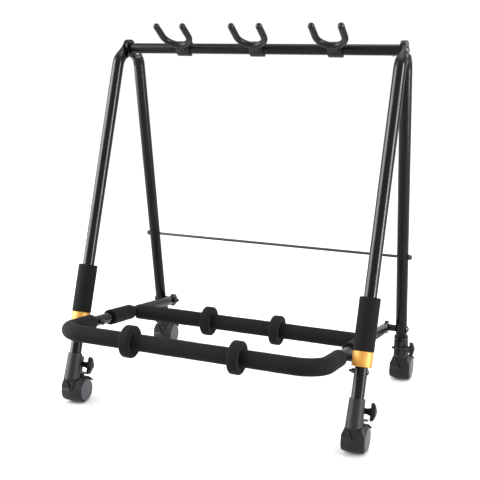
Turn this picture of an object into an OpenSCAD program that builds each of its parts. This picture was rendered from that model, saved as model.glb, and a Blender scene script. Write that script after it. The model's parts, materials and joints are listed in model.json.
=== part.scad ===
// Folding floor rack for three guitars, on four twin-wheel casters.
// Millimetres. X runs along the top bar, -Y is the front, +Z is up.
// The origin is on the floor, under the middle of the rack's depth.

/* [Frame] */
// Height of the top bar's centre line above the floor
bar_height = 746; // [700:1:800]
// Distance from the middle of the rack to the front legs
front_leg_x = 313.5; // [300:0.5:340]
// Lean of the front legs from vertical, in degrees
front_lean = 20.2; // [18:0.1:22]
// Lean of the rear legs from vertical, in degrees
rear_lean = 8.14; // [7:0.1:10]
// Outside diameter of the leg tubes
leg_d = 25.4; // [24:0.1:26]
// Outside diameter of the top bar
bar_d = 22.2; // [20:0.1:23]
// Wall of every tube
wall = 1.5; // [1.2:0.1:2]

/* [Cradle] */
// Distance from the middle of the rack to the side arms
arm_x = 273; // [270:0.5:277]
// Outside diameter of the cradle tubes
arm_d = 22.2; // [20:0.1:22.2]
// Outside diameter of the foam on the cradle
foam_d = 33.6; // [30:0.2:34.8]
// Length of the arms from the rear pivots to the front bar
cradle_length = 505; // [480:1:520]
// Distance of the front foam rings from the middle
front_ring_x = 113; // [80:1:140]
// Distance of the rear foam rings from the middle
rear_ring_x = 81; // [60:1:120]
// Outside diameter of the foam rings
ring_d = 64; // [50:1:66]
// Width of the foam rings
ring_width = 20; // [14:1:24]

/* [Neck yokes] */
// Spacing of the neck yokes along the bar
yoke_pitch = 171; // [150:1:180]
// Clear gap between the two prongs of a yoke
neck_gap = 47; // [44:1:50]
// Length of the straight part of the prongs
prong_length = 34; // [25:1:45]
// Tilt of the prongs above horizontal, in degrees
prong_tilt = 36; // [30:1:45]

/* [Casters] */
// Diameter of the caster wheels
wheel_d = 55; // [50:1:56]
// Distance of the axle behind the swivel
caster_trail = 20; // [15:1:22]

/* [Hidden] */
$fn = 64;
fine = 96;

// Leg lines. Each straight run, drawn on upwards, passes the top bolt at this distance.
leg_offset = 33.4;
rear_leg_x = front_leg_x - 6.5;
front_slope = tan(front_lean);
rear_slope = tan(rear_lean);
function front_y(z) = -(leg_offset + front_slope * (bar_height - z));
function rear_y(z) = leg_offset + rear_slope * (bar_height - z);

// Leg tops
plate_r = 19;
plate_t = 5;
flat_reach = 19.4;
flat_half_w = 14.2;
bend_drop = 24;
bend_r = 30;
top_bolt_d = 8;
bar_end_x = rear_leg_x - plate_t / 2 - 0.1;

// Lower ends
leg_bottom_z = 78;
socket_top_z = 111;
socket_mid_z = 86;
socket_bottom_z = 62;
socket_r = 15.4;
stem_z = 68;
stem_r = 5.5;
fit = 0.06;

// Cradle pivots
front_pivot_z = 181.4;
rear_pivot_z = 128.5;
front_pivot_y = front_y(front_pivot_z);
rear_pivot_y = rear_y(rear_pivot_z);
pivot_span = sqrt(pow(front_pivot_y - rear_pivot_y, 2) + pow(front_pivot_z - rear_pivot_z, 2));
cradle_tilt = atan2(front_pivot_z - rear_pivot_z, rear_pivot_y - front_pivot_y);
cross_y = -203.7;
elbow_r = 50;
foam_r = foam_d / 2;
arm_r = arm_d / 2;

// Collars, grips and stop bolts on the front legs
collar_r = 19.8;
collar_h = 30;
grip_r = 20.4;
grip_h = 103;
stop_drop = 24.3;

// Spacer rod
rod_z = 303;
rod_r = 3.2;

// Yokes
clip_w = 29;
clip_r = bar_d / 2 + 4.6;
prong_r = 6.9;
yoke_r = neck_gap / 2 + prong_r;
yoke_root = 22.5;
yoke_drop = 6;

// Casters
hood_w = 46;
wheel_r = wheel_d / 2;
wheel_w = 17.5;
axle_r = 3;
running = 0.05;

// ---- colours ----
module powder_black() color([0.05, 0.05, 0.055]) children();
module dark_plastic() color([0.16, 0.155, 0.16]) children();
module foam_black() color([0.1, 0.1, 0.1]) children();
module amber() color([0.85, 0.6, 0.2]) children();
module zinc() color([0.62, 0.62, 0.64]) children();

// ---- small helpers ----
// Worked-out lengths are kept to a hundredth of a millimetre, so that faces meet exactly.
function hundredth(x) = round(x * 100) / 100;

// A cylinder lying along X, from x = a to x = b.
module along_x(r, a, b)
  translate([min(a, b), 0, 0])
    rotate([0, 90, 0])
      cylinder(r = r, h = abs(b - a));

// A round tube standing on Z, from z = a to z = b.
module tube_z(r, thick, a, b)
  difference() {
    translate([0, 0, a])
      cylinder(r = r, h = b - a);
    translate([0, 0, a - 1])
      cylinder(r = r - thick, h = b - a + 2);
  }

// A round tube lying along X, centred on the middle of the rack.
module tube_x(r, thick, half)
  rotate([0, 90, 0])
    tube_z(r, thick, -half, half);

// A foam sleeve standing on Z with softly rounded ends.
module sleeve_z(outer, inner, h, edge)
  rotate_extrude()
    polygon([
      [inner, 0], [outer - edge, 0], [outer - edge * 0.3, edge * 0.3], [outer, edge],
      [outer, h - edge], [outer - edge * 0.3, h - edge * 0.3], [outer - edge, h], [inner, h]
    ]);

// A domed bolt head on +X, its flat face at x = 0.
module domed_head(r, h)
  rotate([0, 90, 0])
    rotate_extrude()
      intersection() {
        translate([0, -(r * r - h * h) / (2 * h)])
          circle(r = (r * r + h * h) / (2 * h), $fn = fine);
        square([r, h]);
      }

// A hexagon nut on +X, its flat face at x = 0, with a bored hole.
module hex_nut(across, h, bore)
  rotate([0, 90, 0])
    difference() {
      intersection() {
        cylinder(d = across / cos(30), h = h, $fn = 6);
        rotate_extrude()
          polygon([[0, 0], [across * 0.53, 0], [across * 0.58, 1], [across * 0.58, h - 1],
                   [across * 0.5, h], [0, h]]);
      }
      translate([0, 0, -1])
        cylinder(r = bore, h = h + 2);
    }

// Everything placed on both sides, the left one as a mirror image.
module both_sides() {
  children();
  mirror([1, 0, 0])
    children();
}

// Frames of reference. On a leg, Z runs up the tube from the point at height z.
module on_front_leg(side, z)
  translate([side * front_leg_x, front_y(z), z])
    rotate([-front_lean, 0, 0])
      children();

module on_rear_leg(side, z)
  translate([side * rear_leg_x, rear_y(z), z])
    rotate([rear_lean, 0, 0])
      children();

// In the cradle's frame the arms lie along Y and the rear pivots are at the origin.
module on_cradle()
  translate([0, rear_pivot_y, rear_pivot_z])
    rotate([-cradle_tilt, 0, 0])
      children();

// ---- legs ----
// A bent round bar: a straight run of length run down along -Z, then, going up, a bend
// through turn degrees towards +Y.
module bent_bar(r, run, turn, reach) {
  translate([0, 0, -run])
    cylinder(r = r, h = run - reach);
  translate([0, bend_r, -reach])
    rotate([90, 0, -90])
      rotate_extrude(angle = turn)
        translate([bend_r, 0])
          circle(r);
}

// Leg in its own plane, with the top bolt at the origin and the foot towards -Y.
// The top is pressed flat around the bolt, then the tube bends down into its straight run.
module leg_shape(lean, foot_drop, holes) {
  by = leg_offset + bend_drop * tan(lean);
  top_angle = atan2(by, bend_drop);
  turn = top_angle - lean;
  reach = hundredth(bend_r * tan(turn / 2));
  top_len = sqrt(by * by + bend_drop * bend_drop);
  run = hundredth((foot_drop - bend_drop) / cos(lean));
  r = leg_d / 2;
  // The straight run and its bend, bored from the foot to just short of the bend.
  difference() {
    translate([0, -by, -bend_drop])
      rotate([-lean, 0, 0])
        difference() {
          bent_bar(r, run, turn, reach);
          translate([0, 0, -run - 1])
            cylinder(r = r - wall, h = run + 1 - reach - 2);
        }
    // Cross holes, each given as [distance below the top bolt, radius].
    for (hole = holes)
      translate([0, -(leg_offset + hole[0] * tan(lean)), -hole[0]])
        along_x(hole[1], -20, 20);
  }
  // The pressed top: a loft from round to flat, then the rounded plate.
  translate([0, -by, -bend_drop])
    rotate([-top_angle, 0, 0]) {
      hull() {
        translate([0, 0, reach - 1])
          cylinder(r = r - 0.06, h = 0.4, $fn = 32);
        translate([0, 0, top_len - flat_reach + 0.5])
          cube([plate_t - 0.1, flat_half_w * 2 - 0.1, 0.4], center = true);
      }
      translate([-plate_t / 2, 0, top_len])
        rotate([90, 0, 90])
          linear_extrude(plate_t)
            difference() {
              union() {
                intersection() {
                  circle(plate_r);
                  translate([-plate_r, -plate_r / 2])
                    square([plate_r * 2, plate_r * 2]);
                }
                polygon([
                  [-flat_half_w, -flat_reach], [flat_half_w, -flat_reach],
                  [plate_r * sqrt(3) / 2, -plate_r / 2], [-plate_r * sqrt(3) / 2, -plate_r / 2]
                ]);
              }
              circle(top_bolt_d / 2 + running);
            }
    }
}

stop_z = front_pivot_z - stop_drop * cos(front_lean);

module front_leg(side)
  powder_black()
    translate([side * front_leg_x, 0, bar_height])
      leg_shape(front_lean, bar_height - leg_bottom_z, [[bar_height - stop_z, 3.05]]);

module rear_leg(side)
  powder_black()
    translate([side * rear_leg_x, 0, bar_height])
      mirror([0, 1, 0])
        leg_shape(rear_lean, bar_height - leg_bottom_z,
                  [[bar_height - rod_z, rod_r + running], [bar_height - rear_pivot_z, 4.05]]);

// ---- top bar ----
module top_bar()
  powder_black()
    translate([0, 0, bar_height])
      difference() {
        tube_x(bar_d / 2, wall, bar_end_x);
        for (side = [-1, 1])
          translate([side * 289, 0, -bar_d / 2 - 2])
            cylinder(r = 2.05, h = 8);
      }

// Turned plugs pressed into the bar's ends; the top bolts screw into them.
module bar_plugs()
  zinc()
    both_sides()
      translate([bar_end_x, 0, bar_height])
        rotate([0, -90, 0])
          difference() {
            cylinder(r = bar_d / 2 - wall - 0.02, h = 26);
            translate([0, 0, -1])
              cylinder(r = top_bolt_d / 2, h = 22);
            translate([0, 0, bar_end_x - 289])
              rotate([0, -90, 0])
                cylinder(r = 2.05, h = 20);
          }

// Round-headed screws under the bar that hold the plugs.
module bar_screws()
  zinc()
    both_sides()
      translate([289, 0, bar_height - bar_d / 2 - 0.04])
        rotate([0, 90, 0]) {
          domed_head(4.2, 2.4);
          along_x(2, -6.4, 0);
        }

module top_bolts()
  zinc()
    both_sides()
      translate([0, 0, bar_height]) {
        translate([front_leg_x + plate_t / 2 + 0.05, 0, 0])
          domed_head(8.5, 5);
        along_x(top_bolt_d / 2 - 0.02, bar_end_x - 18, front_leg_x + plate_t / 2 + 0.06);
      }

module top_washers()
  zinc()
    both_sides()
      translate([rear_leg_x + plate_t / 2 + 0.05, 0, bar_height])
        rotate([0, 90, 0])
          tube_z(12, 12 - top_bolt_d / 2 - running, 0, front_leg_x - rear_leg_x - plate_t - 0.1);

// ---- spacer rod between the rear legs ----
module spacer_rod()
  zinc()
    translate([0, rear_y(rod_z), rod_z])
      along_x(rod_r, -rear_leg_x - leg_d / 2 - 8, rear_leg_x + leg_d / 2 + 8);

module rod_nuts()
  zinc()
    both_sides()
      translate([rear_leg_x + leg_d / 2 + 0.05, rear_y(rod_z), rod_z]) {
        rotate([0, 90, 0])
          tube_z(6.5, 6.5 - rod_r - 0.02, 0, 1.1);
        translate([1.15, 0, 0])
          hex_nut(10, 5.4, rod_r + 0.02);
      }

// ---- parts on the front legs ----
module stop_bolts()
  zinc()
    both_sides()
      translate([front_leg_x, front_y(stop_z), stop_z]) {
        translate([leg_d / 2 + 0.05, 0, 0])
          domed_head(5.6, 3.6);
        along_x(3, -21, leg_d / 2 + 0.06);
        translate([-23.4, 0, 0])
          rotate([0, 90, 0])
            cylinder(r1 = 1.8, r2 = 3, h = 2.5);
      }

module stop_nuts()
  zinc()
    both_sides()
      translate([front_leg_x - leg_d / 2 - 0.05, front_y(stop_z), stop_z])
        mirror([1, 0, 0])
          hex_nut(9, 5, 3.02);

// Amber collar that slides on the front leg and carries the cradle's front pivot.
module collar(side)
  amber()
    on_front_leg(side, front_pivot_z)
      rotate_extrude($fn = fine)
        polygon([
          [leg_d / 2 + fit, -collar_h / 2], [collar_r - 1.2, -collar_h / 2],
          [collar_r, -collar_h / 2 + 1.2], [collar_r, collar_h / 2 - 1.2],
          [collar_r - 1.2, collar_h / 2], [leg_d / 2 + fit, collar_h / 2]
        ]);

module grip_foam(side)
  foam_black()
    on_front_leg(side, front_pivot_z)
      translate([0, 0, collar_h / 2])
        sleeve_z(grip_r, leg_d / 2 + 0.35, grip_h, 2.5);

// ---- cradle ----
// The path of the front bar: half of it, used for the tube and for its foam.
module cradle_front_half(r, thick, straight_to) {
  translate([0, -cradle_length, 0])
    rotate([0, 90, 0])
      tube_z(r, thick, 0, arm_x - elbow_r);
  translate([arm_x - elbow_r, -cradle_length + elbow_r, 0])
    rotate([0, 0, -90])
      rotate_extrude(angle = 90)
        translate([elbow_r, 0])
          difference() {
            circle(r);
            circle(r - thick);
          }
  translate([arm_x, -cradle_length + elbow_r, 0])
    rotate([-90, 0, 0])
      tube_z(r, thick, 0, straight_to);
}

rear_flat_t = 7;
rear_flat_r = 15;
arm_run = cradle_length - elbow_r - 38;

module cradle_tube()
  powder_black()
    on_cradle()
      difference() {
        both_sides() {
          cradle_front_half(arm_r, wall, arm_run);
          hull() {
            translate([arm_x, -38, 0])
              rotate([90, 0, 0])
                cylinder(r = arm_r, h = 0.4, $fn = 40);
            translate([arm_x, -rear_flat_r * 0.8, 0])
              cube([rear_flat_t, 0.4, rear_flat_r * 1.2], center = true);
          }
          translate([arm_x - rear_flat_t / 2, 0, 0])
            rotate([90, 0, 90])
              linear_extrude(rear_flat_t)
                intersection() {
                  circle(rear_flat_r);
                  translate([-rear_flat_r * 0.82, -rear_flat_r])
                    square(rear_flat_r * 2);
                }
        }
        for (side = [-1, 1])
          translate([side * arm_x, 0, 0]) {
            along_x(4.05, -20, 20);
            translate([0, -pivot_span, 0])
              along_x(4.05, -20, 20);
          }
      }

// Cross tube between the arms, its ends fish-mouthed to them.
module cross_tube()
  powder_black()
    on_cradle()
      difference() {
        translate([0, cross_y, 0])
          tube_x(arm_r, wall, arm_x - 4);
        for (side = [-1, 1])
          translate([side * arm_x, cross_y - 40, 0])
            rotate([-90, 0, 0])
              cylinder(r = arm_r + 0.02, h = 80);
      }

module front_foam()
  foam_black()
    on_cradle()
      both_sides()
        cradle_front_half(foam_r, foam_r - arm_r - 0.05, cradle_length - elbow_r - pivot_span - 21);

side_foam_front = -pivot_span + 54;
side_foam_rear = cross_y - foam_r - 0.6;

module side_foams()
  foam_black()
    on_cradle()
      both_sides()
        translate([arm_x, side_foam_front, 0])
          rotate([-90, 0, 0])
            sleeve_z(foam_r, arm_r + 0.05, side_foam_rear - side_foam_front, 2);

module cross_foam()
  foam_black()
    on_cradle()
      translate([-(arm_x - arm_r - 1), cross_y, 0])
        rotate([0, 90, 0])
          sleeve_z(foam_r, arm_r + 0.05, 2 * (arm_x - arm_r - 1), 1.5);

// Front pivot bolts: nut inside the arm, shank through it, end just short of the collar.
module front_pivots()
  zinc()
    on_cradle()
      both_sides()
        translate([arm_x, -pivot_span, 0]) {
          along_x(4, -arm_r - 10, 20.3);
          translate([-arm_r - 0.4, 0, 0])
            mirror([1, 0, 0])
              hex_nut(13, 6.5, 4.02);
        }

module front_spacers()
  dark_plastic()
    on_cradle()
      both_sides()
        translate([arm_x, -pivot_span, 0])
          rotate([0, 90, 0])
            difference() {
              cylinder(r = 8, h = 19.6);
              translate([0, 0, -1])
                cylinder(r = 4.05, h = 22);
              rotate([90, 0, 0])
                translate([0, 0, -20])
                  cylinder(r = arm_r + 0.02, h = 40);
            }

rear_gap = rear_leg_x - leg_d / 2 - arm_x - rear_flat_t / 2;

// Rear pivot bolts: domed head outside the rear leg, nut and end inside the arm.
module rear_pivots()
  zinc()
    both_sides()
      translate([rear_leg_x, rear_pivot_y, rear_pivot_z]) {
        translate([leg_d / 2 + 0.05, 0, 0])
          domed_head(8, 4.6);
        along_x(4, -47.5, leg_d / 2 + 0.06);
        translate([-50.5, 0, 0])
          rotate([0, 90, 0])
            cylinder(r1 = 2.4, r2 = 4, h = 3.01);
        translate([-leg_d / 2 - rear_gap - rear_flat_t - 0.2, 0, 0])
          mirror([1, 0, 0])
            hex_nut(13, 6.5, 4.02);
      }

module rear_spacers()
  dark_plastic()
    both_sides()
      translate([arm_x + rear_flat_t / 2 + 0.05, rear_pivot_y, rear_pivot_z])
        rotate([0, 90, 0])
          tube_z(7.5, 3.45, 0, rear_gap - 0.1);

// ---- foam rings ----
module foam_ring(x, y)
  foam_black()
    on_cradle()
      translate([x - ring_width / 2, y, 0])
        rotate([0, 90, 0])
          sleeve_z(ring_d / 2, foam_r + 0.35, ring_width, 3);

// ---- neck yokes ----
// Clip that grips the bar: a C-shaped band with two webs and a saddle under the yoke.
module yoke_clip(x)
  dark_plastic()
    translate([x, 0, bar_height])
      difference() {
        union() {
          along_x(clip_r, -clip_w / 2, clip_w / 2);
          rotate([-prong_tilt, 0, 0])
            translate([0, -yoke_root, -yoke_drop]) {
              for (web = [-1, 1])
                translate([web * 11 - 2.5, -1, -5])
                  cube([5, 15, 11]);
              translate([-8.6, 1, -prong_r])
                cube([17.2, 10, 2 * prong_r]);
            }
        }
        along_x(bar_d / 2 + 0.08, -clip_w, clip_w);
        // Slot low at the back that lets the clip spring open.
        rotate([-50, 0, 0])
          translate([-clip_w, 0, -3])
            cube([clip_w * 2, clip_r * 2, 6]);
        yoke_body(prong_r + 0.02);
      }

// The yoke itself: one round bar bent to a U, with ball ends, tilted forwards and up.
module yoke_body(r)
  rotate([-prong_tilt, 0, 0])
    translate([0, -yoke_root, -yoke_drop]) {
      translate([0, -yoke_r, 0])
        rotate_extrude(angle = 180)
          translate([yoke_r, 0])
            circle(r);
      for (side = [-1, 1])
        translate([side * yoke_r, -yoke_r, 0]) {
          rotate([90, 0, 0])
            cylinder(r = r, h = prong_length);
          translate([0, -prong_length, 0])
            sphere(r);
        }
    }

module yoke(x)
  foam_black()
    translate([x, 0, bar_height])
      yoke_body(prong_r);

// ---- caster sockets: split clamp sleeves on the leg ends ----
socket_drop = socket_mid_z - socket_bottom_z;
socket_rise = socket_top_z - socket_mid_z;

// Drawn with the leg coming down from above; the lugs point towards +Y.
module socket_shape(lean, drop, lift) {
  lug_y = socket_r + 5;
  difference() {
    union() {
      intersection() {
        translate([0, 0, -drop - 20])
          cylinder(r1 = socket_r + 2, r2 = socket_r, h = drop + lift + 20);
        // Level cut at the bottom, square to the caster's stem.
        rotate([lean, 0, 0])
          translate([-40, -60, -drop])
            cube([80, 120, 200]);
      }
      for (side = [-1, 1])
        translate([side > 0 ? 1.4 : -8.4, socket_r - 6, -13])
          cube([7, 16, 34]);
      translate([-11, 0, -16])
        cube([22, socket_r - 0.5, 4]);
    }
    // Bore for the leg, and the slit that lets it clamp.
    translate([0, 0, -9])
      cylinder(r = leg_d / 2 + 0.03, h = 100);
    translate([-1.4, 0, -9])
      cube([2.8, 60, 100]);
    translate([0, lug_y, 4])
      along_x(3.1, -30, 30);
    // Bore for the caster's stem.
    rotate([lean, 0, 0])
      translate([0, -(socket_mid_z - stem_z) * tan(lean), -60])
        cylinder(r = stem_r + running, h = 60 - 13.5);
  }
}

module socket_front(side)
  dark_plastic()
    on_front_leg(side, socket_mid_z)
      socket_shape(front_lean, socket_drop, socket_rise / cos(front_lean));

module socket_rear(side)
  dark_plastic()
    on_rear_leg(side, socket_mid_z)
      mirror([0, 1, 0])
        socket_shape(rear_lean, socket_drop, socket_rise / cos(rear_lean));

// Clamp knob: a bolt along X through the lugs with a winged head on its right-hand end.
module knob_shape() {
  dark_plastic() {
    translate([9, 0, 0])
      rotate([0, 90, 0])
        rotate_extrude()
          polygon([[0, 0], [6, 0], [6, 9], [7.5, 13], [7.5, 16], [0, 16]]);
    // The head: a winged outline along X, its outer face bowed from wing to wing.
    intersection() {
      translate([24.5, 0, 0])
        rotate([90, 0, 90])
          linear_extrude(10)
            union() {
              circle(8);
              for (wing = [-1, 1])
                translate([0, wing * 12.4])
                  circle(5.6);
              translate([-5, -12.4])
                square([10, 24.8]);
            }
      translate([4.5, 0, 0])
        rotate([90, 0, 0])
          cylinder(r = 30, h = 40, center = true, $fn = fine);
    }
    along_x(3, -16, 18);
  }
}

module knob_front(side)
  on_front_leg(side, socket_mid_z)
    translate([0, socket_r + 5, 4])
      knob_shape();

module knob_rear(side)
  on_rear_leg(side, socket_mid_z)
    translate([0, -socket_r - 5, 4])
      knob_shape();

// ---- casters ----
// Each caster is drawn at the origin of its swivel, on the floor, with its hood to the front.
module at_caster(side, rear)
  translate([
    side * (rear ? rear_leg_x : front_leg_x),
    rear ? rear_y(stem_z) : front_y(stem_z),
    0
  ])
    children();

hood_r = wheel_r + 2.6;
axle_half = 18.6;
pedal_y = caster_trail + 6;
pedal_z = wheel_r + 32.6;

// Side outline of the hood: a hooked cover over the front and top of the wheels.
module hood_outline()
  difference() {
    union() {
      translate([caster_trail, wheel_r])
        circle(hood_r, $fn = fine);
      translate([-9, wheel_r])
        square([18, socket_bottom_z - wheel_r - 4]);
    }
    translate([caster_trail - 12, -10])
      square([80, wheel_r * 0.62 + 10]);
    translate([caster_trail + 14, -10])
      square([60, wheel_r + 23]);
    translate([-60, -10])
      square([120, 13.5]);
  }

// Front outline of the hood: rounded at the bottom corners, drawn in towards the neck.
module hood_front_outline() {
  corner_r = 8;
  bottom = 7;
  shoulder = 43;
  for (side = [-1, 1])
    translate([side * (hood_w / 2 - corner_r), bottom + corner_r])
      circle(corner_r);
  translate([-hood_w / 2 + corner_r, bottom])
    square([hood_w - 2 * corner_r, 2 * corner_r]);
  translate([-hood_w / 2, bottom + corner_r])
    square([hood_w, shoulder - bottom - corner_r]);
  polygon([
    [-hood_w / 2, shoulder], [-16.5, 58], [-16.5, 70], [16.5, 70], [16.5, 58], [hood_w / 2, shoulder]
  ]);
}

// V-shaped rib that runs from the neck down the front of the hood.
module hood_rib()
  for (side = [-1, 1])
    intersection() {
      translate([0, -13, wheel_r + 3])
        rotate([0, side * 20, 0])
          translate([-1.5, 0, 0])
            cube([3, 18, 34]);
      rotate([90, 0, 90])
        translate([0, 0, -hood_w / 2])
          linear_extrude(hood_w)
            polygon([
              [-11.4, socket_bottom_z - 4], [4, socket_bottom_z - 4],
              [4, wheel_r + 4], [-11.4, wheel_r + 4]
            ]);
    }

module hood(side, rear)
  dark_plastic()
    at_caster(side, rear) {
      difference() {
        union() {
          intersection() {
            rotate([90, 0, 90])
              translate([0, 0, -hood_w / 2])
                linear_extrude(hood_w)
                  hood_outline();
            translate([0, 80, 0])
              rotate([90, 0, 0])
                linear_extrude(160)
                  hood_front_outline();
          }
          hood_rib();
          // Neck ring, thrust washer and stem.
          translate([0, 0, socket_bottom_z - 6])
            cylinder(r = 12, h = 5.4);
          translate([0, 0, socket_bottom_z - 0.7])
            cylinder(r = 7.5, h = 0.5);
          translate([0, 0, socket_bottom_z - 1])
            cylinder(r = stem_r, h = 11);
          // Ears and pin for the brake pedal.
          for (ear = [-1, 1])
            translate([ear * 9.6 - 1.7, pedal_y - 4, pedal_z - 6.4])
              cube([3.4, 8, 9]);
          translate([0, pedal_y, pedal_z])
            along_x(1.5, -9, 9);
        }
        // Room for the two wheels, leaving a web between them.
        for (half = [-1, 1])
          translate([half * (hood_w / 2 + 3.6), caster_trail, wheel_r])
            along_x(wheel_r + 0.8, -hood_w / 2, hood_w / 2);
        translate([0, caster_trail, wheel_r])
          along_x(axle_r, -40, 40);
      }
      // Axle pin, pressed through the web.
      translate([0, caster_trail, wheel_r])
        along_x(axle_r, -axle_half, axle_half);
    }

// One wheel, half being its side of the hood: a rounded tread, a rim and a closed disc
// that hides the blind end of the axle.
module wheel(side, rear, half)
  dark_plastic()
    at_caster(side, rear)
      translate([half * 4.4, caster_trail, wheel_r])
        rotate([0, half * 90, 0])
          rotate_extrude($fn = fine)
            polygon([
              [axle_r + running, 0], [wheel_r - 2, 0], [wheel_r, 2.2], [wheel_r, wheel_w - 5],
              [wheel_r - 1.5, wheel_w - 3.2], [wheel_r - 4, wheel_w - 2.6],
              [wheel_r - 4.2, wheel_w + 0.4], [wheel_r - 6, wheel_w + 0.9], [0, wheel_w + 1.6],
              [0, wheel_w - 3], [axle_r + running, wheel_w - 3]
            ]);

// Side outline of the pedal's wide end, with a raised and rounded lip.
module pedal_lip() {
  translate([11, -0.4])
    square([12, 2.4]);
  translate([23, 0.9])
    circle(1.9, $fn = 32);
}

// Brake pedal: a wide tab that turns on the pin between the hood's ears.
module brake(side, rear)
  dark_plastic()
    at_caster(side, rear)
      translate([0, pedal_y, pedal_z])
        difference() {
          union() {
            along_x(2.6, -7.6, 7.6);
            rotate([-16, 0, 0]) {
              translate([-7, 0, -0.4])
                cube([14, 14, 2.4]);
              rotate([90, 0, 90])
                translate([0, 0, -15])
                  linear_extrude(30)
                    pedal_lip();
            }
          }
          along_x(1.55, -20, 20);
        }

// ---- what is drawn ----
// Everything above is drawn with the top bar over y = 0, and is moved back here so that the
// origin is under the middle of the rack's depth.
middle_y = 114.5;
module placed()
  translate([0, middle_y, 0])
    children();

placed() front_leg(-1);  // front_leg_left
placed() front_leg(1);  // front_leg_right
placed() rear_leg(-1);  // rear_leg_left
placed() rear_leg(1);  // rear_leg_right
placed() top_bar();
placed() bar_plugs();
placed() bar_screws();
placed() top_bolts();
placed() top_washers();
placed() spacer_rod();
placed() rod_nuts();
placed() stop_bolts();
placed() stop_nuts();
placed() collar(-1);  // collar_left
placed() collar(1);  // collar_right
placed() grip_foam(-1);  // grip_foam_left
placed() grip_foam(1);  // grip_foam_right
placed() cradle_tube();
placed() cross_tube();
placed() front_foam();
placed() side_foams();
placed() cross_foam();
placed() front_pivots();
placed() front_spacers();
placed() rear_pivots();
placed() rear_spacers();
placed() foam_ring(-front_ring_x, -cradle_length);  // front_ring_left
placed() foam_ring(front_ring_x, -cradle_length);  // front_ring_right
placed() foam_ring(-rear_ring_x, cross_y);  // rear_ring_left
placed() foam_ring(rear_ring_x, cross_y);  // rear_ring_right
placed() yoke_clip(-yoke_pitch);  // yoke_clip_left
placed() yoke_clip(0);  // yoke_clip_middle
placed() yoke_clip(yoke_pitch);  // yoke_clip_right
placed() yoke(-yoke_pitch);  // yoke_left
placed() yoke(0);  // yoke_middle
placed() yoke(yoke_pitch);  // yoke_right
placed() socket_front(-1);  // socket_front_left
placed() socket_front(1);  // socket_front_right
placed() socket_rear(-1);  // socket_rear_left
placed() socket_rear(1);  // socket_rear_right
placed() knob_front(-1);  // knob_front_left
placed() knob_front(1);  // knob_front_right
placed() knob_rear(-1);  // knob_rear_left
placed() knob_rear(1);  // knob_rear_right
placed() hood(-1, false);  // hood_front_left
placed() hood(1, false);  // hood_front_right
placed() hood(-1, true);  // hood_rear_left
placed() hood(1, true);  // hood_rear_right
placed() wheel(-1, false, -1);  // wheel_front_left_outer
placed() wheel(-1, false, 1);  // wheel_front_left_inner
placed() wheel(1, false, 1);  // wheel_front_right_outer
placed() wheel(1, false, -1);  // wheel_front_right_inner
placed() wheel(-1, true, -1);  // wheel_rear_left_outer
placed() wheel(-1, true, 1);  // wheel_rear_left_inner
placed() wheel(1, true, 1);  // wheel_rear_right_outer
placed() wheel(1, true, -1);  // wheel_rear_right_inner
placed() brake(-1, false);  // brake_front_left
placed() brake(1, false);  // brake_front_right
placed() brake(-1, true);  // brake_rear_left
placed() brake(1, true);  // brake_rear_right
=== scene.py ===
"""Folding guitar rack on casters: finishes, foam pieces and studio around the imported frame.

Metres. X runs along the top bar, -Y is the front, +Z is up, and the floor is z = 0.
"""

import json
import math

import bpy
from bpy.props import FloatProperty, FloatVectorProperty, IntProperty, PointerProperty
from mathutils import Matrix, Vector, noise

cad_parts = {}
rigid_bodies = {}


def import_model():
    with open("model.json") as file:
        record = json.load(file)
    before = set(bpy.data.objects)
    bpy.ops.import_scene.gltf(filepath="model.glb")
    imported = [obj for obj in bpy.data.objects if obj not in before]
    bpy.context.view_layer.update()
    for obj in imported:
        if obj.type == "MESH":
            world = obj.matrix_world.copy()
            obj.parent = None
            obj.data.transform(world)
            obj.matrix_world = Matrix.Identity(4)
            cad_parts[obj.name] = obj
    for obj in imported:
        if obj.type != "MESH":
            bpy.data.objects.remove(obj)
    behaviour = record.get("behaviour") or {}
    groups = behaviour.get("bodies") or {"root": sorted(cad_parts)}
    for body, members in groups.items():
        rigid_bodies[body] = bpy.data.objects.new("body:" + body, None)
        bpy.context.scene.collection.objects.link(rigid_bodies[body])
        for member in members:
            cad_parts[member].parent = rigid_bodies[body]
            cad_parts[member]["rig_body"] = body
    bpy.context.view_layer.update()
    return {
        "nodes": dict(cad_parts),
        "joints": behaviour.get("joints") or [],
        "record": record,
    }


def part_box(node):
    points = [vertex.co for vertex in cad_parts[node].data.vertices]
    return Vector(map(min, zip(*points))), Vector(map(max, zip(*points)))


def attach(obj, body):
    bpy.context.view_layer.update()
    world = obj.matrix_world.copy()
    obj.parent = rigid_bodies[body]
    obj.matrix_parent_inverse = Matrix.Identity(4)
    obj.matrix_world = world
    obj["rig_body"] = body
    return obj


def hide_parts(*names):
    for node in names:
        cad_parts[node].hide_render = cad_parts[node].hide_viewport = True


bl_info = {
    "name": "Folding guitar rack",
    "version": (1, 0, 0),
    "blender": (4, 5, 0),
    "location": "View3D > Sidebar > Rack",
    "description": "Finishes, foam and studio for a folding three-guitar rack on casters",
    "category": "Object",
}

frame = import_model()
NODES = frame["nodes"]
JOINTS = {joint["name"]: joint for joint in frame["joints"]}
MOUNTS = {mount["name"]: mount for mount in frame["record"]["mounts"]}
SIDES = ("left", "right")
CORNERS = [f"{end}_{side}" for end in ("front", "rear") for side in SIDES]
PLACES = ("left", "middle", "right")
MILLIMETRE = 0.001
SNUG = 0.05 * MILLIMETRE  # clearance of a sleeve on its tube
SLIDING = 0.35 * MILLIMETRE  # clearance of a foam piece that slides
ACROSS = Vector((1, 0, 0))  # along the top bar


# ---- sizes and colours a user would change ----
def length(name, description, default, **limits):
    """A length in metres, for a PropertyGroup."""
    return FloatProperty(
        name=name, description=description, default=default, subtype="DISTANCE", unit="LENGTH", **limits
    )


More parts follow.
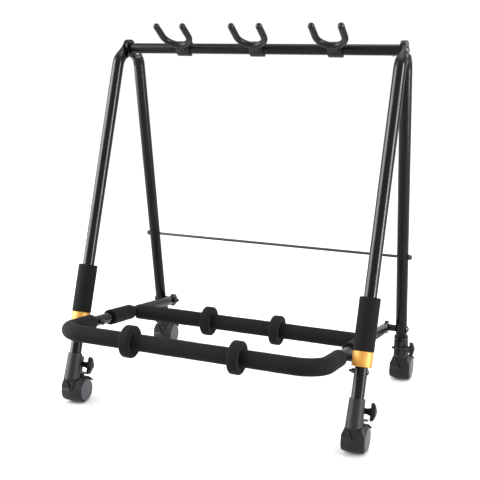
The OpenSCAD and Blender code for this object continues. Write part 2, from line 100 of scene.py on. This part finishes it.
def colour(name, description, default):
    """A colour without alpha, for a PropertyGroup."""
    return FloatVectorProperty(
        name=name, description=description, default=default, subtype="COLOR", size=3, min=0.0, max=1.0
    )


class RackFinish(bpy.types.PropertyGroup):
    """Colours of the rack's surfaces."""

    powder: colour("Powder coat", "Black of the tubes", (0.0022, 0.0022, 0.0027))
    foam: colour("Foam", "Black of the foam sleeves, rings and yokes", (0.0032, 0.0030, 0.0030))
    amber_deep: colour("Amber, deep", "Darker tone of the collars", (0.40, 0.175, 0.018))
    amber_light: colour("Amber, light", "Lighter tone of the collars", (0.60, 0.315, 0.050))
    moulding: colour("Moulding", "Charcoal of the clips, sleeves, knobs and hoods", (0.0088, 0.0080, 0.0094))
    disc: colour("Wheel disc", "Grey of the caster discs", (0.042, 0.039, 0.047))
    # painted shade: this near-black is the tread's colour and also stands in for the shaded gap between the
    # caster hood's rim and the wheel disc
    tread: colour("Tread", "Black of the caster treads", (0.0035, 0.0035, 0.0038))
    steel: colour("Plated steel", "Bright plated fasteners", (0.56, 0.55, 0.56))
    black_steel: colour("Black steel", "Blackened fasteners", (0.02, 0.02, 0.021))


class RackFoam(bpy.types.PropertyGroup):
    """How soft the foam pieces look."""

    waviness: length("Waviness", "How far the foam's skin wanders in and out", 0.00035)
    wave: length("Wave length", "Distance between the skin's slow waves", 0.045)
    edge: length("Cut edge", "Rounding of the cut ends", 0.0016)
    elbow: length("Elbow radius", "Centre-line radius of the cradle's elbows", 0.050)
    step: length("Step", "Distance between the rings of a swept mesh", 0.0045)
    around: IntProperty(name="Around", description="Points round a swept mesh", default=60, min=12)


class RackStudio(bpy.types.PropertyGroup):
    """Camera and light."""

    camera_place: FloatVectorProperty(
        name="Camera", description="Where the camera stands", default=(0.722007, -1.710678, 0.786258),
        subtype="XYZ", unit="LENGTH", size=3,
    )
    camera_turn: FloatVectorProperty(
        name="Turn", description="Camera rotation",
        default=tuple(math.radians(turn) for turn in (74.8739, 0.1106, 23.6906)),
        subtype="EULER", unit="ROTATION", size=3,
    )
    lens: FloatProperty(name="Lens", description="Focal length, mm", default=67.78, unit="CAMERA")
    shift: FloatVectorProperty(name="Shift", description="Lens shift", default=(0.0339, 0.0701), size=2)
    sky: FloatProperty(name="Sky", description="Strength of the surrounding light", default=1.08)
    key: FloatProperty(name="Key", description="Power of the main soft light", default=70.0, unit="POWER")
    panel: FloatProperty(name="Panel", description="Power of the left panel", default=460.0, unit="POWER")


# ---- shader expressions ----
class Link:
    """A node socket that can stand in a Python expression on values."""

    def __init__(self, maker, socket):
        self.maker = maker
        self.socket = socket

    def maths(self, operation, *terms):
        return self.maker.add("ShaderNodeMath", {"operation": operation}, *terms)

    def __add__(self, other):
        return self.maths("ADD", self, other)

    def __sub__(self, other):
        return self.maths("SUBTRACT", self, other)

    def __rsub__(self, other):
        return self.maths("SUBTRACT", other, self)

    def __mul__(self, other):
        return self.maths("MULTIPLY", self, other)

    def __truediv__(self, other):
        return self.maths("DIVIDE", self, other)

    __radd__ = __add__
    __rmul__ = __mul__


class Finish:
    """A material under construction, with one method that adds any node."""

    def __init__(self, name):
        self.material = bpy.data.materials.new(name)
        self.material.use_nodes = True
        self.tree = self.material.node_tree
        self.tree.nodes.clear()

    def add(self, kind, settings, *values, out=0, **named):
        """Adds a node: settings first, then socket values or links in order, then by name."""
        node = self.tree.nodes.new(kind)
        for key, value in settings.items():
            if key == "stops":
                ramp = node.color_ramp
                for index, (place, tone) in enumerate(value):
                    stop = ramp.elements[index] if index < 2 else ramp.elements.new(place)
                    stop.position = place
                    stop.color = (*tone, 1.0)
            else:
                setattr(node, key, value)
        for index, value in enumerate(values):
            self.feed(node.inputs[index], value)
        for key, value in named.items():
            self.feed(node.inputs[key.replace("_", " ")], value)
        return Link(self, node.outputs[out])

    def feed(self, socket, value):
        if isinstance(value, Link):
            self.tree.links.new(value.socket, socket)
        elif socket.type == "RGBA":
            socket.default_value = (*value, 1.0)
        else:
            socket.default_value = value

    def place(self):
        """The piece's own coordinates, in metres."""
        return self.add("ShaderNodeTexCoord", {}, out=3)

    def stretched(self, place, turn, scale):
        """The coordinates turned, then scaled axis by axis."""
        return self.add("ShaderNodeMapping", {}, place, Rotation=turn, Scale=scale)

    def grain(self, place, scale, detail=3.0, roughness=0.55):
        """Soft noise from 0 to 1."""
        return self.add(
            "ShaderNodeTexNoise", {}, place, Scale=scale, Detail=detail, Roughness=roughness
        )

    def cells(self, place, scale):
        """Distance to the nearest of scattered points: pores or grains."""
        return self.add("ShaderNodeTexVoronoi", {}, place, Scale=scale)

    def ramp(self, value, low, high):
        """value spread from low..high to 0..1."""
        return self.add(
            "ShaderNodeMapRange", {"clamp": True}, value, From_Min=low, From_Max=high
        )

    def between(self, factor, first, second):
        """A colour between two."""
        mix = self.tree.nodes.new("ShaderNodeMix")
        mix.data_type = "RGBA"
        self.feed(mix.inputs[0], factor)
        self.feed(mix.inputs[6], first)
        self.feed(mix.inputs[7], second)
        return Link(self, mix.outputs[2])

    def bump(self, height, strength, distance):
        return self.add(
            "ShaderNodeBump", {}, Strength=strength, Distance=distance, Height=height
        )

    def surface(self, **sockets):
        """The closing shader and output."""
        shader = self.tree.nodes.new("ShaderNodeBsdfPrincipled")
        for key, value in sockets.items():
            self.feed(shader.inputs[key.replace("_", " ")], value)
        out = self.tree.nodes.new("ShaderNodeOutputMaterial")
        self.tree.links.new(shader.outputs[0], out.inputs[0])
        return self.material


def toned(base, factor):
    """A colour made lighter or darker."""
    return tuple(min(1.0, channel * factor) for channel in base)


def powder_coat(base):
    """Gloss black powder coat with a faint orange peel, dust haze and handling smears."""
    f = Finish("powder_coat")
    place = f.place()
    peel = f.grain(place, 420.0, 2.0)
    haze = f.grain(place, 9.0, 4.0)
    specks = f.ramp(f.grain(place, 1500.0, 1.0), 0.60, 0.72)
    smears = f.ramp(f.grain(f.stretched(place, (0, 0, 0), (1, 1, 0.25)), 38.0, 5.0), 0.42, 0.75)
    tone = f.between(haze, toned(base, 0.75), toned(base, 1.6))
    return f.surface(
        Base_Color=f.between(specks * 0.35, tone, toned(base, 5.0)),
        Roughness=0.17 + haze * 0.09 + smears * 0.10 + specks * 0.1,
        Specular_IOR_Level=0.16,
        Normal=f.bump(peel + specks * 0.4, 0.09, 0.0004),
    )


def closed_foam(base):
    """Matt closed-cell foam: fine pores, a soft nap and slow mottling."""
    f = Finish("closed_foam")
    place = f.place()
    pores = f.cells(place, 1500.0)
    fine = f.grain(place, 900.0, 4.0, 0.7)
    mottle = f.grain(place, 26.0, 5.0, 0.6)
    dust = f.ramp(f.grain(place, 640.0, 2.0), 0.58, 0.78)
    tone = f.between(mottle, toned(base, 0.6), toned(base, 1.75))
    height = fine * 0.7 + pores * 0.5 + mottle * 0.8
    return f.surface(
        Base_Color=f.between(dust * 0.35, tone, toned(base, 3.4)),
        Roughness=0.74 + mottle * 0.12 + fine * 0.1,
        Specular_IOR_Level=0.10,
        Sheen_Weight=0.02,
        Sheen_Roughness=0.5,
        Normal=f.bump(height, 0.42, 0.0006),
    )


def amber_collar(deep, light, lean):
    """Golden collar with fine turned lines round it and a worn, softly clouded tone."""
    f = Finish("amber_collar")
    place = f.place()
    along = f.stretched(place, (lean, 0, 0), (1, 1, 1))
    lines = f.grain(f.stretched(along, (0, 0, 0), (6.0, 6.0, 900.0)), 1.0, 3.0)
    bands = f.grain(f.stretched(along, (0, 0, 0), (6.0, 6.0, 130.0)), 1.0, 2.0)
    cloud = f.grain(place, 60.0, 4.0)
    tone = f.between(f.ramp(cloud * 0.5 + bands * 0.5, 0.3, 0.7), deep, light)
    return f.surface(
        Base_Color=f.between(lines * 0.4, tone, toned(deep, 0.85)),
        Metallic=0.35,
        Roughness=0.42 + lines * 0.14 + cloud * 0.08,
        Specular_IOR_Level=0.5,
        Normal=f.bump(lines + bands * 0.5, 0.12, 0.0003),
    )


def moulded(name, base, rough, grain_size, depth, shine=0.2):
    """Charcoal moulding with spark-eroded grain and scuffs."""
    f = Finish(name)
    place = f.place()
    grain = f.cells(place, grain_size)
    cloud = f.grain(place, 45.0, 4.0)
    scuffs = f.ramp(f.grain(f.stretched(place, (0.3, 0.5, 0), (1, 5, 1)), 160.0, 5.0), 0.62, 0.80)
    tone = f.between(cloud, toned(base, 0.72), toned(base, 1.3))
    return f.surface(
        Base_Color=f.between(scuffs * 0.3, tone, toned(base, 2.4)),
        Roughness=rough + cloud * 0.10 + scuffs * 0.06,
        Specular_IOR_Level=shine,
        Normal=f.bump(grain + cloud * 0.4, depth, 0.0004),
    )


def wheel_disc(base):
    """Satin grey disc with fine turned rings and light scuffs."""
    f = Finish("wheel_disc")
    place = f.place()
    cloud = f.grain(place, 55.0, 4.0)
    fine = f.grain(place, 1300.0, 2.0)
    scuffs = f.ramp(f.grain(f.stretched(place, (0.6, 0, 0), (1, 1, 6)), 90.0, 5.0), 0.6, 0.8)
    tone = f.between(cloud, toned(base, 0.82), toned(base, 1.18))
    return f.surface(
        Base_Color=f.between(scuffs * 0.35, tone, toned(base, 1.5)),
        Roughness=0.40 + cloud * 0.12 + scuffs * 0.08,
        Specular_IOR_Level=0.45,
        Normal=f.bump(fine + cloud * 0.6, 0.12, 0.0004),
    )


def rolling_tread_gap_shade(base):
    """Matt black tread with floor dust; its near-black outer ring is also painted shade that stands in for
    the gap between the caster hood's rim and the disc.
    """
    f = Finish("rolling_tread_gap_shade")
    place = f.place()
    dust = f.ramp(f.grain(place, 130.0, 6.0), 0.5, 0.8)
    fine = f.grain(place, 1100.0, 3.0)
    return f.surface(
        Base_Color=f.between(dust * 0.6, base, toned(base, 5.0)),
        Roughness=0.62 + dust * 0.2,
        Specular_IOR_Level=0.15,
        Normal=f.bump(fine, 0.25, 0.0004),
    )


def plated(name, base, metallic, rough):
    """Plated steel with drawing lines, small stains and edge dulling."""
    f = Finish(name)
    place = f.place()
    drawn = f.grain(f.stretched(place, (0, 0, 0), (0.06, 1, 1)), 1400.0, 3.0)
    stain = f.grain(place, 95.0, 5.0)
    tone = f.between(f.ramp(stain, 0.3, 0.75), toned(base, 0.7), toned(base, 1.15))
    return f.surface(
        Base_Color=f.between(drawn * 0.3, tone, toned(base, 0.6)),
        Metallic=metallic,
        Roughness=rough + stain * 0.16 + drawn * 0.08,
        Normal=f.bump(drawn + stain * 0.3, 0.14, 0.0003),
    )


def studio_floor():
    """Pale matt paper with the faintest tooth."""
    f = Finish("studio_floor")
    place = f.place()
    tooth = f.grain(place, 220.0, 3.0)
    return f.surface(
        Base_Color=f.between(tooth, (0.93, 0.93, 0.93), (0.96, 0.96, 0.96)),
        Roughness=0.9 + tooth * 0.05,
        Specular_IOR_Level=0.1,
    )


MATERIALS = {}


def finish_of(name):
    """The named material, made the first time it is asked for."""
    if name not in MATERIALS:
        tones = bpy.context.scene.rack_finish
        lean = math.atan2(JOINTS["collar_rise_left"]["axis"][1], JOINTS["collar_rise_left"]["axis"][2])
        makers = {
            "powder_coat": lambda: powder_coat(tones.powder),
            "closed_foam": lambda: closed_foam(tones.foam),
            "amber_collar": lambda: amber_collar(tones.amber_deep, tones.amber_light, lean),
            "prong_rubber": lambda: moulded("prong_rubber", tones.foam, 0.34, 1300.0, 0.10),
            "moulded_clip": lambda: moulded("moulded_clip", tones.moulding, 0.50, 380.0, 0.75),
            "moulded_hood": lambda: moulded("moulded_hood", tones.moulding, 0.36, 1500.0, 0.12),
            "moulded_sleeve": lambda: moulded("moulded_sleeve", tones.moulding, 0.46, 700.0, 0.30),
            "moulded_knob": lambda: moulded("moulded_knob", toned(tones.moulding, 0.6), 0.44, 1100.0, 0.22),
            "wheel_disc": lambda: wheel_disc(tones.disc),
            # tread material: its near-black also paints the shade of the gap between hood rim and disc
            "rolling_tread_gap_shade": lambda: rolling_tread_gap_shade(tones.tread),
            "bright_steel": lambda: plated("bright_steel", tones.steel, 1.0, 0.22),
            "black_steel": lambda: plated("black_steel", tones.black_steel, 0.35, 0.26),
            "studio_floor": studio_floor,
        }
        MATERIALS[name] = makers[name]()
    return MATERIALS[name]


# ---- places read from the frame ----
def middle(node):
    """Centre of a node's box."""
    low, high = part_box(node)
    return (low + high) / 2


def half_height(node):
    """Half the height of a node's box."""
    low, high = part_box(node)
    return (high.z - low.z) / 2


def reach(node, direction):
    """Least and greatest distance of a node's points along a direction."""
    along = [vertex.co.dot(direction) for vertex in NODES[node].data.vertices]
    return min(along), max(along)


def body_with(node):
    """Name of the body that carries a node."""
    return NODES[node]["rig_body"]


def cradle_forward():
    """Direction of the cradle's side arms, towards the front bar."""
    forward = middle("front_ring_left") - middle("rear_ring_left")
    forward.x = 0
    return forward.normalized()


# ---- meshes ----
def skin_wander(point, foam):
    """Slow in-and-out wander of the foam's skin at a point, in metres."""
    slow = noise.noise(point / foam.wave)
    quick = noise.noise(point / (foam.wave * 0.22) + Vector((7.1, 3.3, 5.7)))
    return foam.waviness * (slow + 0.45 * quick)


def mesh_piece(name, points, faces, material):
    """A smooth-shaded mesh object in the row frame."""
    mesh = bpy.data.meshes.new(name)
    mesh.from_pydata([tuple(p) for p in points], [], faces)
    mesh.validate()
    mesh.shade_smooth()
    mesh.materials.append(finish_of(material))
    piece = bpy.data.objects.new(name, mesh)
    bpy.context.scene.collection.objects.link(piece)
    return piece


def swept(name, stations, around, closed_section, material):
    """Joins rings of points into one skin. Each station is (centre, across, up, radius)."""
    points, faces = [], []
    for centre, across, up, radius in stations:
        for k in range(around):
            angle = 2 * math.pi * k / around
            spoke = across * math.cos(angle) + up * math.sin(angle)
            points.append(centre + spoke * (radius(centre, spoke) if callable(radius) else radius))
    count = len(stations)
    for i in range(count if closed_section else count - 1):
        for k in range(around):
            first, second = i * around, ((i + 1) % count) * around
            following = (k + 1) % around
            faces.append((first + k, first + following, second + following, second + k))
    if not closed_section:
        faces.append(tuple(reversed(range(around))))
        faces.append(tuple((count - 1) * around + k for k in range(around)))
    return mesh_piece(name, points, faces, material)


def line_stations(path, up, foam, outer, bore):
    """Stations of a sleeve on a path: the outer skin forwards, then the bore backwards."""
    def side(direction):
        return direction.cross(up).normalized()

    def skin(centre, spoke):
        return outer + skin_wander(centre + spoke * outer, foam)

    def cut_end(end, inwards, direction):
        """The rounded edge of a cut end, from its face to the full radius."""
        made = []
        for lift in (0.0, 0.35, 0.7, 1.0):
            turn = lift * math.pi / 2
            inset = foam.edge * (1 - math.sin(turn))
            step = foam.edge * (1 - math.cos(turn))
            made.append((end + inwards * step, side(direction), up, outer - inset))
        return made

    ahead, behind = path[1][1], path[-1][1]
    stations = cut_end(path[0][0], ahead, ahead)
    for centre, direction in path[1:-1]:
        stations.append((centre, side(direction), up, skin))
    stations.extend(reversed(cut_end(path[-1][0], -behind, behind)))
    for centre, direction in reversed(path):
        stations.append((centre, side(direction), up, bore))
    return stations


def straight_path(start, end, step):
    """Points and directions from start to end."""
    span = end - start
    count = max(4, round(span.length / step))
    direction = span.normalized()
    return [(start + span * (i / count), direction) for i in range(count + 1)]


def arc_path(centre, radius, first, second, sweep, step):
    """A turn about centre, from the spoke first towards the spoke second."""
    count = max(6, round(radius * sweep / step))
    made = []
    for i in range(count + 1):
        angle = sweep * i / count
        spoke = first * math.cos(angle) + second * math.sin(angle)
        made.append((centre + spoke * radius, second * math.cos(angle) - first * math.sin(angle)))
    return made


def joined(*paths):
    """Paths end to end, without doubled points."""
    made = list(paths[0])
    for path in paths[1:]:
        made.extend(path[1:])
    return made


def foam_piece(piece, node):
    """Attaches a foam piece to the body of the CAD node it stands for, and hides that node."""
    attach(piece, body_with(node))
    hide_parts(node)
    return piece


def front_sleeve(foam):
    """The U-shaped sleeve round the cradle's front bar and its two elbows."""
    forward = cradle_forward()
    up = ACROSS.cross(-forward).normalized()
    outer = half_height("cross_foam")
    bore = half_height("cross_tube") + SNUG
    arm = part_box("front_foam")[1].x - outer
    base = middle("rear_ring_left")
    base.x = 0
    back, front = reach("front_foam", forward)
    front_bar = base + forward * (front - outer - base.dot(forward))
    ends = base + forward * (back - base.dot(forward))
    turn = foam.elbow
    corner = front_bar - forward * turn
    path = joined(
        straight_path(ends - ACROSS * arm, corner - ACROSS * arm, foam.step),
        arc_path(corner - ACROSS * (arm - turn), turn, -ACROSS, forward, math.pi / 2, foam.step),
        straight_path(front_bar - ACROSS * (arm - turn), front_bar + ACROSS * (arm - turn), foam.step),
        arc_path(corner + ACROSS * (arm - turn), turn, forward, ACROSS, math.pi / 2, foam.step),
        straight_path(corner + ACROSS * arm, ends + ACROSS * arm, foam.step),
    )
    stations = line_stations(path, up, foam, outer, bore)
    return swept("front_foam_sleeve", stations, foam.around, True, "closed_foam")


def straight_sleeve(name, start, end, up, outer, bore, foam):
    """A straight foam sleeve between two points."""
    stations = line_stations(straight_path(start, end, foam.step), up, foam, outer, bore)
    return swept(name, stations, foam.around, True, "closed_foam")


def ring_piece(name, node, bore, foam):
    """A thick foam ring round a cradle bar, with soft shoulders."""
    low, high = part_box(node)
    centre = (low + high) / 2
    width = high.x - low.x
    outer = half_height(node)
    shoulder = 3.6 * MILLIMETRE
    lip_in, lip_out = 0.6 * MILLIMETRE, 1.6 * MILLIMETRE  # chamfer at the bore, along the bar
    lip_rise = 1.2 * MILLIMETRE
    still = 4.0 * MILLIMETRE  # the skin keeps still this near to the bore
    profile = []
    for side in (-1, 1):
        turns = [j / 6 * math.pi / 2 for j in range(7)]
        if side == 1:
            turns.reverse()
        for turn in turns:
            x = side * (width / 2 - shoulder + shoulder * math.cos(turn))
            profile.append((x, outer - shoulder + shoulder * math.sin(turn)))
    profile.append((width / 2 - lip_in, bore + lip_rise))
    profile.append((width / 2 - lip_out, bore))
    profile.append((-width / 2 + lip_out, bore))
    profile.append((-width / 2 + lip_in, bore + lip_rise))
    stations = []
    for x, radius in profile:
        def skin(point, spoke, radius=radius):
            return radius + (skin_wander(point + spoke * radius, foam) if radius > bore + still else 0.0)

        stations.append((centre + ACROSS * x, Vector((0, 1, 0)), Vector((0, 0, 1)), skin))
    return swept(name, stations, foam.around + 12, True, "closed_foam")


def yoke_piece(name, node, foam):
    """A foam-covered U with ball ends, swept along its bend."""
    ahead = Vector(MOUNTS["neck_rest_middle"]["axis"]).normalized()
    up = ACROSS.cross(ahead).normalized()
    low, high = reach(node, up)
    thick = (high - low) / 2
    level = (high + low) / 2
    root, tip = reach(node, ahead)
    side_low, side_high = reach(node, ACROSS)
    bend = (side_high - side_low) / 2 - thick
    centre_x = (side_high + side_low) / 2
    centre = ACROSS * centre_x + ahead * (root + thick + bend) + up * level
    ends = ahead * (tip - thick - (root + thick + bend))
    path = joined(
        straight_path(centre - ACROSS * bend + ends, centre - ACROSS * bend, foam.step / 2),
        arc_path(centre, bend, -ACROSS, -ahead, math.pi, foam.step / 2),
        straight_path(centre + ACROSS * bend, centre + ACROSS * bend + ends, foam.step / 2),
    )

    def skin(point, spoke):
        return thick + 0.6 * skin_wander(point + spoke * thick, foam)

    def ball_end(end, outwards, direction):
        """The ball on a prong's tip, from its pole to its widest ring."""
        made = []
        for turn in (0.12, 0.3, 0.5, 0.7, 0.85, 0.95):
            angle = turn * math.pi / 2
            ring = end + outwards * thick * math.cos(angle)
            made.append((ring, direction.cross(up).normalized(), up, thick * math.sin(angle)))
        return made

    start, first = path[0]
    end, last = path[-1]
    stations = ball_end(start, -first, first)
    for point, direction in path:
        stations.append((point, direction.cross(up).normalized(), up, skin))
    stations.extend(reversed(ball_end(end, last, last)))
    return swept(name, stations, foam.around // 2, False, "prong_rubber")


# ---- CAD nodes that are shown as they are, with a finish ----
WELD = 0.005 * MILLIMETRE  # points nearer than this are one
SHARP = math.radians(40)  # edges sharper than this are rounded
CRISP = math.radians(38)  # edges sharper than this keep a hard line
TREAD_GAP_SHADE_DEPTH = 3.2 * MILLIMETRE  # how far the near-black tread finish goes in from the rim; it is also painted shade of the gap between hood rim and disc


def dressed(node, material, edge=0.0):
    """Gives a CAD node its finish, and rounds its sharp edges a little."""
    piece = NODES[node]
    piece.data.materials.clear()
    piece.data.materials.append(finish_of(material))
    if edge:
        weld = piece.modifiers.new("weld", "WELD")
        weld.merge_threshold = WELD
        rounding = piece.modifiers.new("edge", "BEVEL")
        rounding.width = edge
        rounding.segments = 2
        rounding.limit_method = "ANGLE"
        rounding.angle_limit = SHARP
        rounding.use_clamp_overlap = True
        split = piece.modifiers.new("crisp", "EDGE_SPLIT")
        split.split_angle = CRISP
    return piece


def tread_gap_shade_faces(node, tread):
    """Puts the near-black tread finish, which also paints the shade of the gap between the hood's rim and
    the disc, on the faces that look away from the axle.
    """
    mesh = NODES[node].data
    mesh.materials.append(finish_of(tread))
    centre = middle(node)
    rim = half_height(node)
    for face in mesh.polygons:
        spoke = face.center - centre
        spoke.x = 0
        face.material_index = 1 if spoke.length > rim - TREAD_GAP_SHADE_DEPTH else 0


# ---- operators ----
class RACK_OT_tubes(bpy.types.Operator):
    """Finish the legs, the top bar and the cradle's tubes."""

    bl_idname = "rack.tubes"
    bl_label = "Tubes"

    def execute(self, context):
        legs = [f"{end}_leg_{side}" for end in ("front", "rear") for side in SIDES]
        for node in legs + ["top_bar", "cradle_tube", "cross_tube"]:
            dressed(node, "powder_coat")
        return {"FINISHED"}


class RACK_OT_fasteners(bpy.types.Operator):
    """Finish the bolts, nuts, washers, plugs and the spacer rod."""

    bl_idname = "rack.fasteners"
    bl_label = "Fasteners"

    def execute(self, context):
        for node in ("bar_plugs", "bar_screws", "top_washers"):
            dressed(node, "bright_steel")
        for node in (
            "top_bolts", "stop_bolts", "stop_nuts", "front_pivots", "rear_pivots", "spacer_rod", "rod_nuts"
        ):
            dressed(node, "black_steel")
        for node in ("front_spacers", "rear_spacers"):
            dressed(node, "moulded_knob")
        return {"FINISHED"}


class RACK_OT_collars(bpy.types.Operator):
    """Finish the amber collars."""

    bl_idname = "rack.collars"
    bl_label = "Collars"

    def execute(self, context):
        for side in SIDES:
            dressed(f"collar_{side}", "amber_collar")
        return {"FINISHED"}


class RACK_OT_grips(bpy.types.Operator):
    """Make the foam grips above the collars."""

    bl_idname = "rack.grips"
    bl_label = "Leg grips"

    def execute(self, context):
        foam = context.scene.rack_foam
        for side in SIDES:
            node = f"grip_foam_{side}"
            rise = Vector(JOINTS[f"collar_rise_{side}"]["axis"]).normalized()
            low, high = reach(node, rise)
            centre = middle(node)
            outer = (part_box(node)[1].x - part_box(node)[0].x) / 2
            leg = (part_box(f"front_leg_{side}")[1].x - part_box(f"front_leg_{side}")[0].x) / 2
            start = centre + rise * (low - centre.dot(rise))
            end = centre + rise * (high - centre.dot(rise))
            piece = straight_sleeve(
                f"leg_grip_{side}", start, end, ACROSS.copy(), outer, leg + SLIDING, foam
            )
            foam_piece(piece, node)
        return {"FINISHED"}


class RACK_OT_sleeves(bpy.types.Operator):
    """Make the foam sleeves of the cradle."""

    bl_idname = "rack.sleeves"
    bl_label = "Cradle sleeves"

    def execute(self, context):
        foam = context.scene.rack_foam
        foam_piece(front_sleeve(foam), "front_foam")
        forward = cradle_forward()
        up = ACROSS.cross(-forward).normalized()
        low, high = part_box("cross_foam")
        centre = middle("cross_foam")
        outer = half_height("cross_foam")
        bore = half_height("cross_tube") + SNUG
        start = Vector((low.x, centre.y, centre.z))
        end = Vector((high.x, centre.y, centre.z))
        piece = straight_sleeve("cross_foam_sleeve", start, end, up, outer, bore, foam)
        foam_piece(piece, "cross_foam")
        back, front = reach("side_foams", forward)
        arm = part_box("side_foams")[1].x - outer
        base = middle("rear_ring_left")
        base.x = 0
        here = base.dot(forward)
        for side, sign in (("left", -1), ("right", 1)):
            start = base + forward * (back - here) + ACROSS * (arm * sign)
            end = base + forward * (front - here) + ACROSS * (arm * sign)
            piece = straight_sleeve(f"side_foam_sleeve_{side}", start, end, up, outer, bore, foam)
            foam_piece(piece, "side_foams")
        return {"FINISHED"}


class RACK_OT_rings(bpy.types.Operator):
    """Make the four foam rings that part the guitars."""

    bl_idname = "rack.rings"
    bl_label = "Foam rings"

    def execute(self, context):
        foam = context.scene.rack_foam
        bore = half_height("cross_foam") + SLIDING
        for end in ("front", "rear"):
            for side in SIDES:
                node = f"{end}_ring_{side}"
                foam_piece(ring_piece(f"foam_ring_{end}_{side}", node, bore, foam), node)
        return {"FINISHED"}


class RACK_OT_yokes(bpy.types.Operator):
    """Make the foam-covered neck yokes and finish their clips."""

    bl_idname = "rack.yokes"
    bl_label = "Neck yokes"

    def execute(self, context):
        foam = context.scene.rack_foam
        for place in PLACES:
            foam_piece(yoke_piece(f"neck_prongs_{place}", f"yoke_{place}", foam), f"yoke_{place}")
            dressed(f"yoke_clip_{place}", "moulded_clip", 0.5 * MILLIMETRE)
        return {"FINISHED"}


class RACK_OT_sockets(bpy.types.Operator):
    """Finish the clamp sleeves on the leg ends, and their knobs."""

    bl_idname = "rack.sockets"
    bl_label = "Clamp sleeves and knobs"

    def execute(self, context):
        for corner in CORNERS:
            dressed(f"socket_{corner}", "moulded_sleeve", 0.6 * MILLIMETRE)
            dressed(f"knob_{corner}", "moulded_knob", 0.8 * MILLIMETRE)
        return {"FINISHED"}


class RACK_OT_casters(bpy.types.Operator):
    """Finish the caster hoods, wheels and brake pedals."""

    bl_idname = "rack.casters"
    bl_label = "Casters"

    def execute(self, context):
        for corner in CORNERS:
            dressed(f"hood_{corner}", "moulded_hood", 0.7 * MILLIMETRE)
            dressed(f"brake_{corner}", "moulded_hood", 0.5 * MILLIMETRE)
            for half in ("outer", "inner"):
                node = f"wheel_{corner}_{half}"
                dressed(node, "wheel_disc")
                # the outer wheel faces get a near-black that also paints the shade of the gap between hood
                # rim and disc
                tread_gap_shade_faces(node, "rolling_tread_gap_shade")
        return {"FINISHED"}


def soft_light(name, place, aim, size, power, gloss_only=False):
    """A rectangular soft light that looks at a point. gloss_only shows it in reflections alone."""
    data = bpy.data.lights.new(name, "AREA")
    data.shape = "RECTANGLE"
    data.size, data.size_y = size
    data.energy = power
    lamp = bpy.data.objects.new(name, data)
    lamp.location = place
    lamp.rotation_euler = (Vector(aim) - Vector(place)).to_track_quat("-Z", "Y").to_euler()
    lamp.visible_diffuse = not gloss_only
    bpy.context.scene.collection.objects.link(lamp)
    return lamp


class RACK_OT_studio(bpy.types.Operator):
    """Lay the floor, hang the lights and set the camera."""

    bl_idname = "rack.studio"
    bl_label = "Studio"

    def execute(self, context):
        studio = context.scene.rack_studio
        far = 40.0
        corners = [(x * far, y * far, 0.0) for x, y in ((-1, -1), (1, -1), (1, 1), (-1, 1))]
        floor = mesh_piece("floor", corners, [(0, 1, 2, 3)], "studio_floor")
        sky = bpy.data.worlds.new("sky")
        sky.use_nodes = True
        light = sky.node_tree.nodes["Background"]
        light.inputs["Color"].default_value = (1.0, 1.0, 1.0, 1.0)
        light.inputs["Strength"].default_value = studio.sky
        context.scene.world = sky
        low_aim, high_aim = (0.0, 0.0, 0.35), (0.0, 0.0, 0.6)
        soft_light("key_light", (-2.4, -1.6, 2.6), low_aim, (1.2, 2.4), studio.key)
        soft_light("side_light", (3.2, -0.2, 1.6), low_aim, (0.7, 2.6), studio.key * 0.8)
        soft_light("top_light", (0.2, 0.6, 3.4), low_aim, (2.4, 1.6), studio.key * 0.6)
        soft_light("left_panel", (-2.76, -1.2, 1.0), high_aim, (2.6, 3.4), studio.panel, True)
        soft_light("right_strip", (3.0, -0.2, 1.0), high_aim, (0.8, 3.0), studio.panel * 0.6, True)
        data = bpy.data.cameras.new("camera")
        data.lens = studio.lens
        data.sensor_width = 36.0
        data.shift_x, data.shift_y = studio.shift
        data.dof.use_dof = False
        camera = bpy.data.objects.new("camera", data)
        camera.location = studio.camera_place
        camera.rotation_euler = studio.camera_turn
        context.scene.collection.objects.link(camera)
        context.scene.camera = camera
        context.scene.view_settings.view_transform = "Standard"
        return {"FINISHED"}


STEPS = (
    RACK_OT_tubes, RACK_OT_fasteners, RACK_OT_collars, RACK_OT_grips, RACK_OT_sleeves,
    RACK_OT_rings, RACK_OT_yokes, RACK_OT_sockets, RACK_OT_casters, RACK_OT_studio,
)


class RACK_PT_panel(bpy.types.Panel):
    """The rack's pieces, in the order they are made."""

    bl_label = "Guitar rack"
    bl_space_type = "VIEW_3D"
    bl_region_type = "UI"
    bl_category = "Rack"

    def draw(self, context):
        for step in STEPS:
            self.layout.operator(step.bl_idname)


CLASSES = (RackFinish, RackFoam, RackStudio, *STEPS, RACK_PT_panel)


def register():
    for each in CLASSES:
        bpy.utils.register_class(each)
    bpy.types.Scene.rack_finish = PointerProperty(type=RackFinish)
    bpy.types.Scene.rack_foam = PointerProperty(type=RackFoam)
    bpy.types.Scene.rack_studio = PointerProperty(type=RackStudio)


def unregister():
    del bpy.types.Scene.rack_studio
    del bpy.types.Scene.rack_foam
    del bpy.types.Scene.rack_finish
    for each in reversed(CLASSES):
        bpy.utils.unregister_class(each)


def main():
    register()
    for step in STEPS:
        group, name = step.bl_idname.split(".")
        getattr(getattr(bpy.ops, group), name)()


if __name__ == "__main__":
    main()
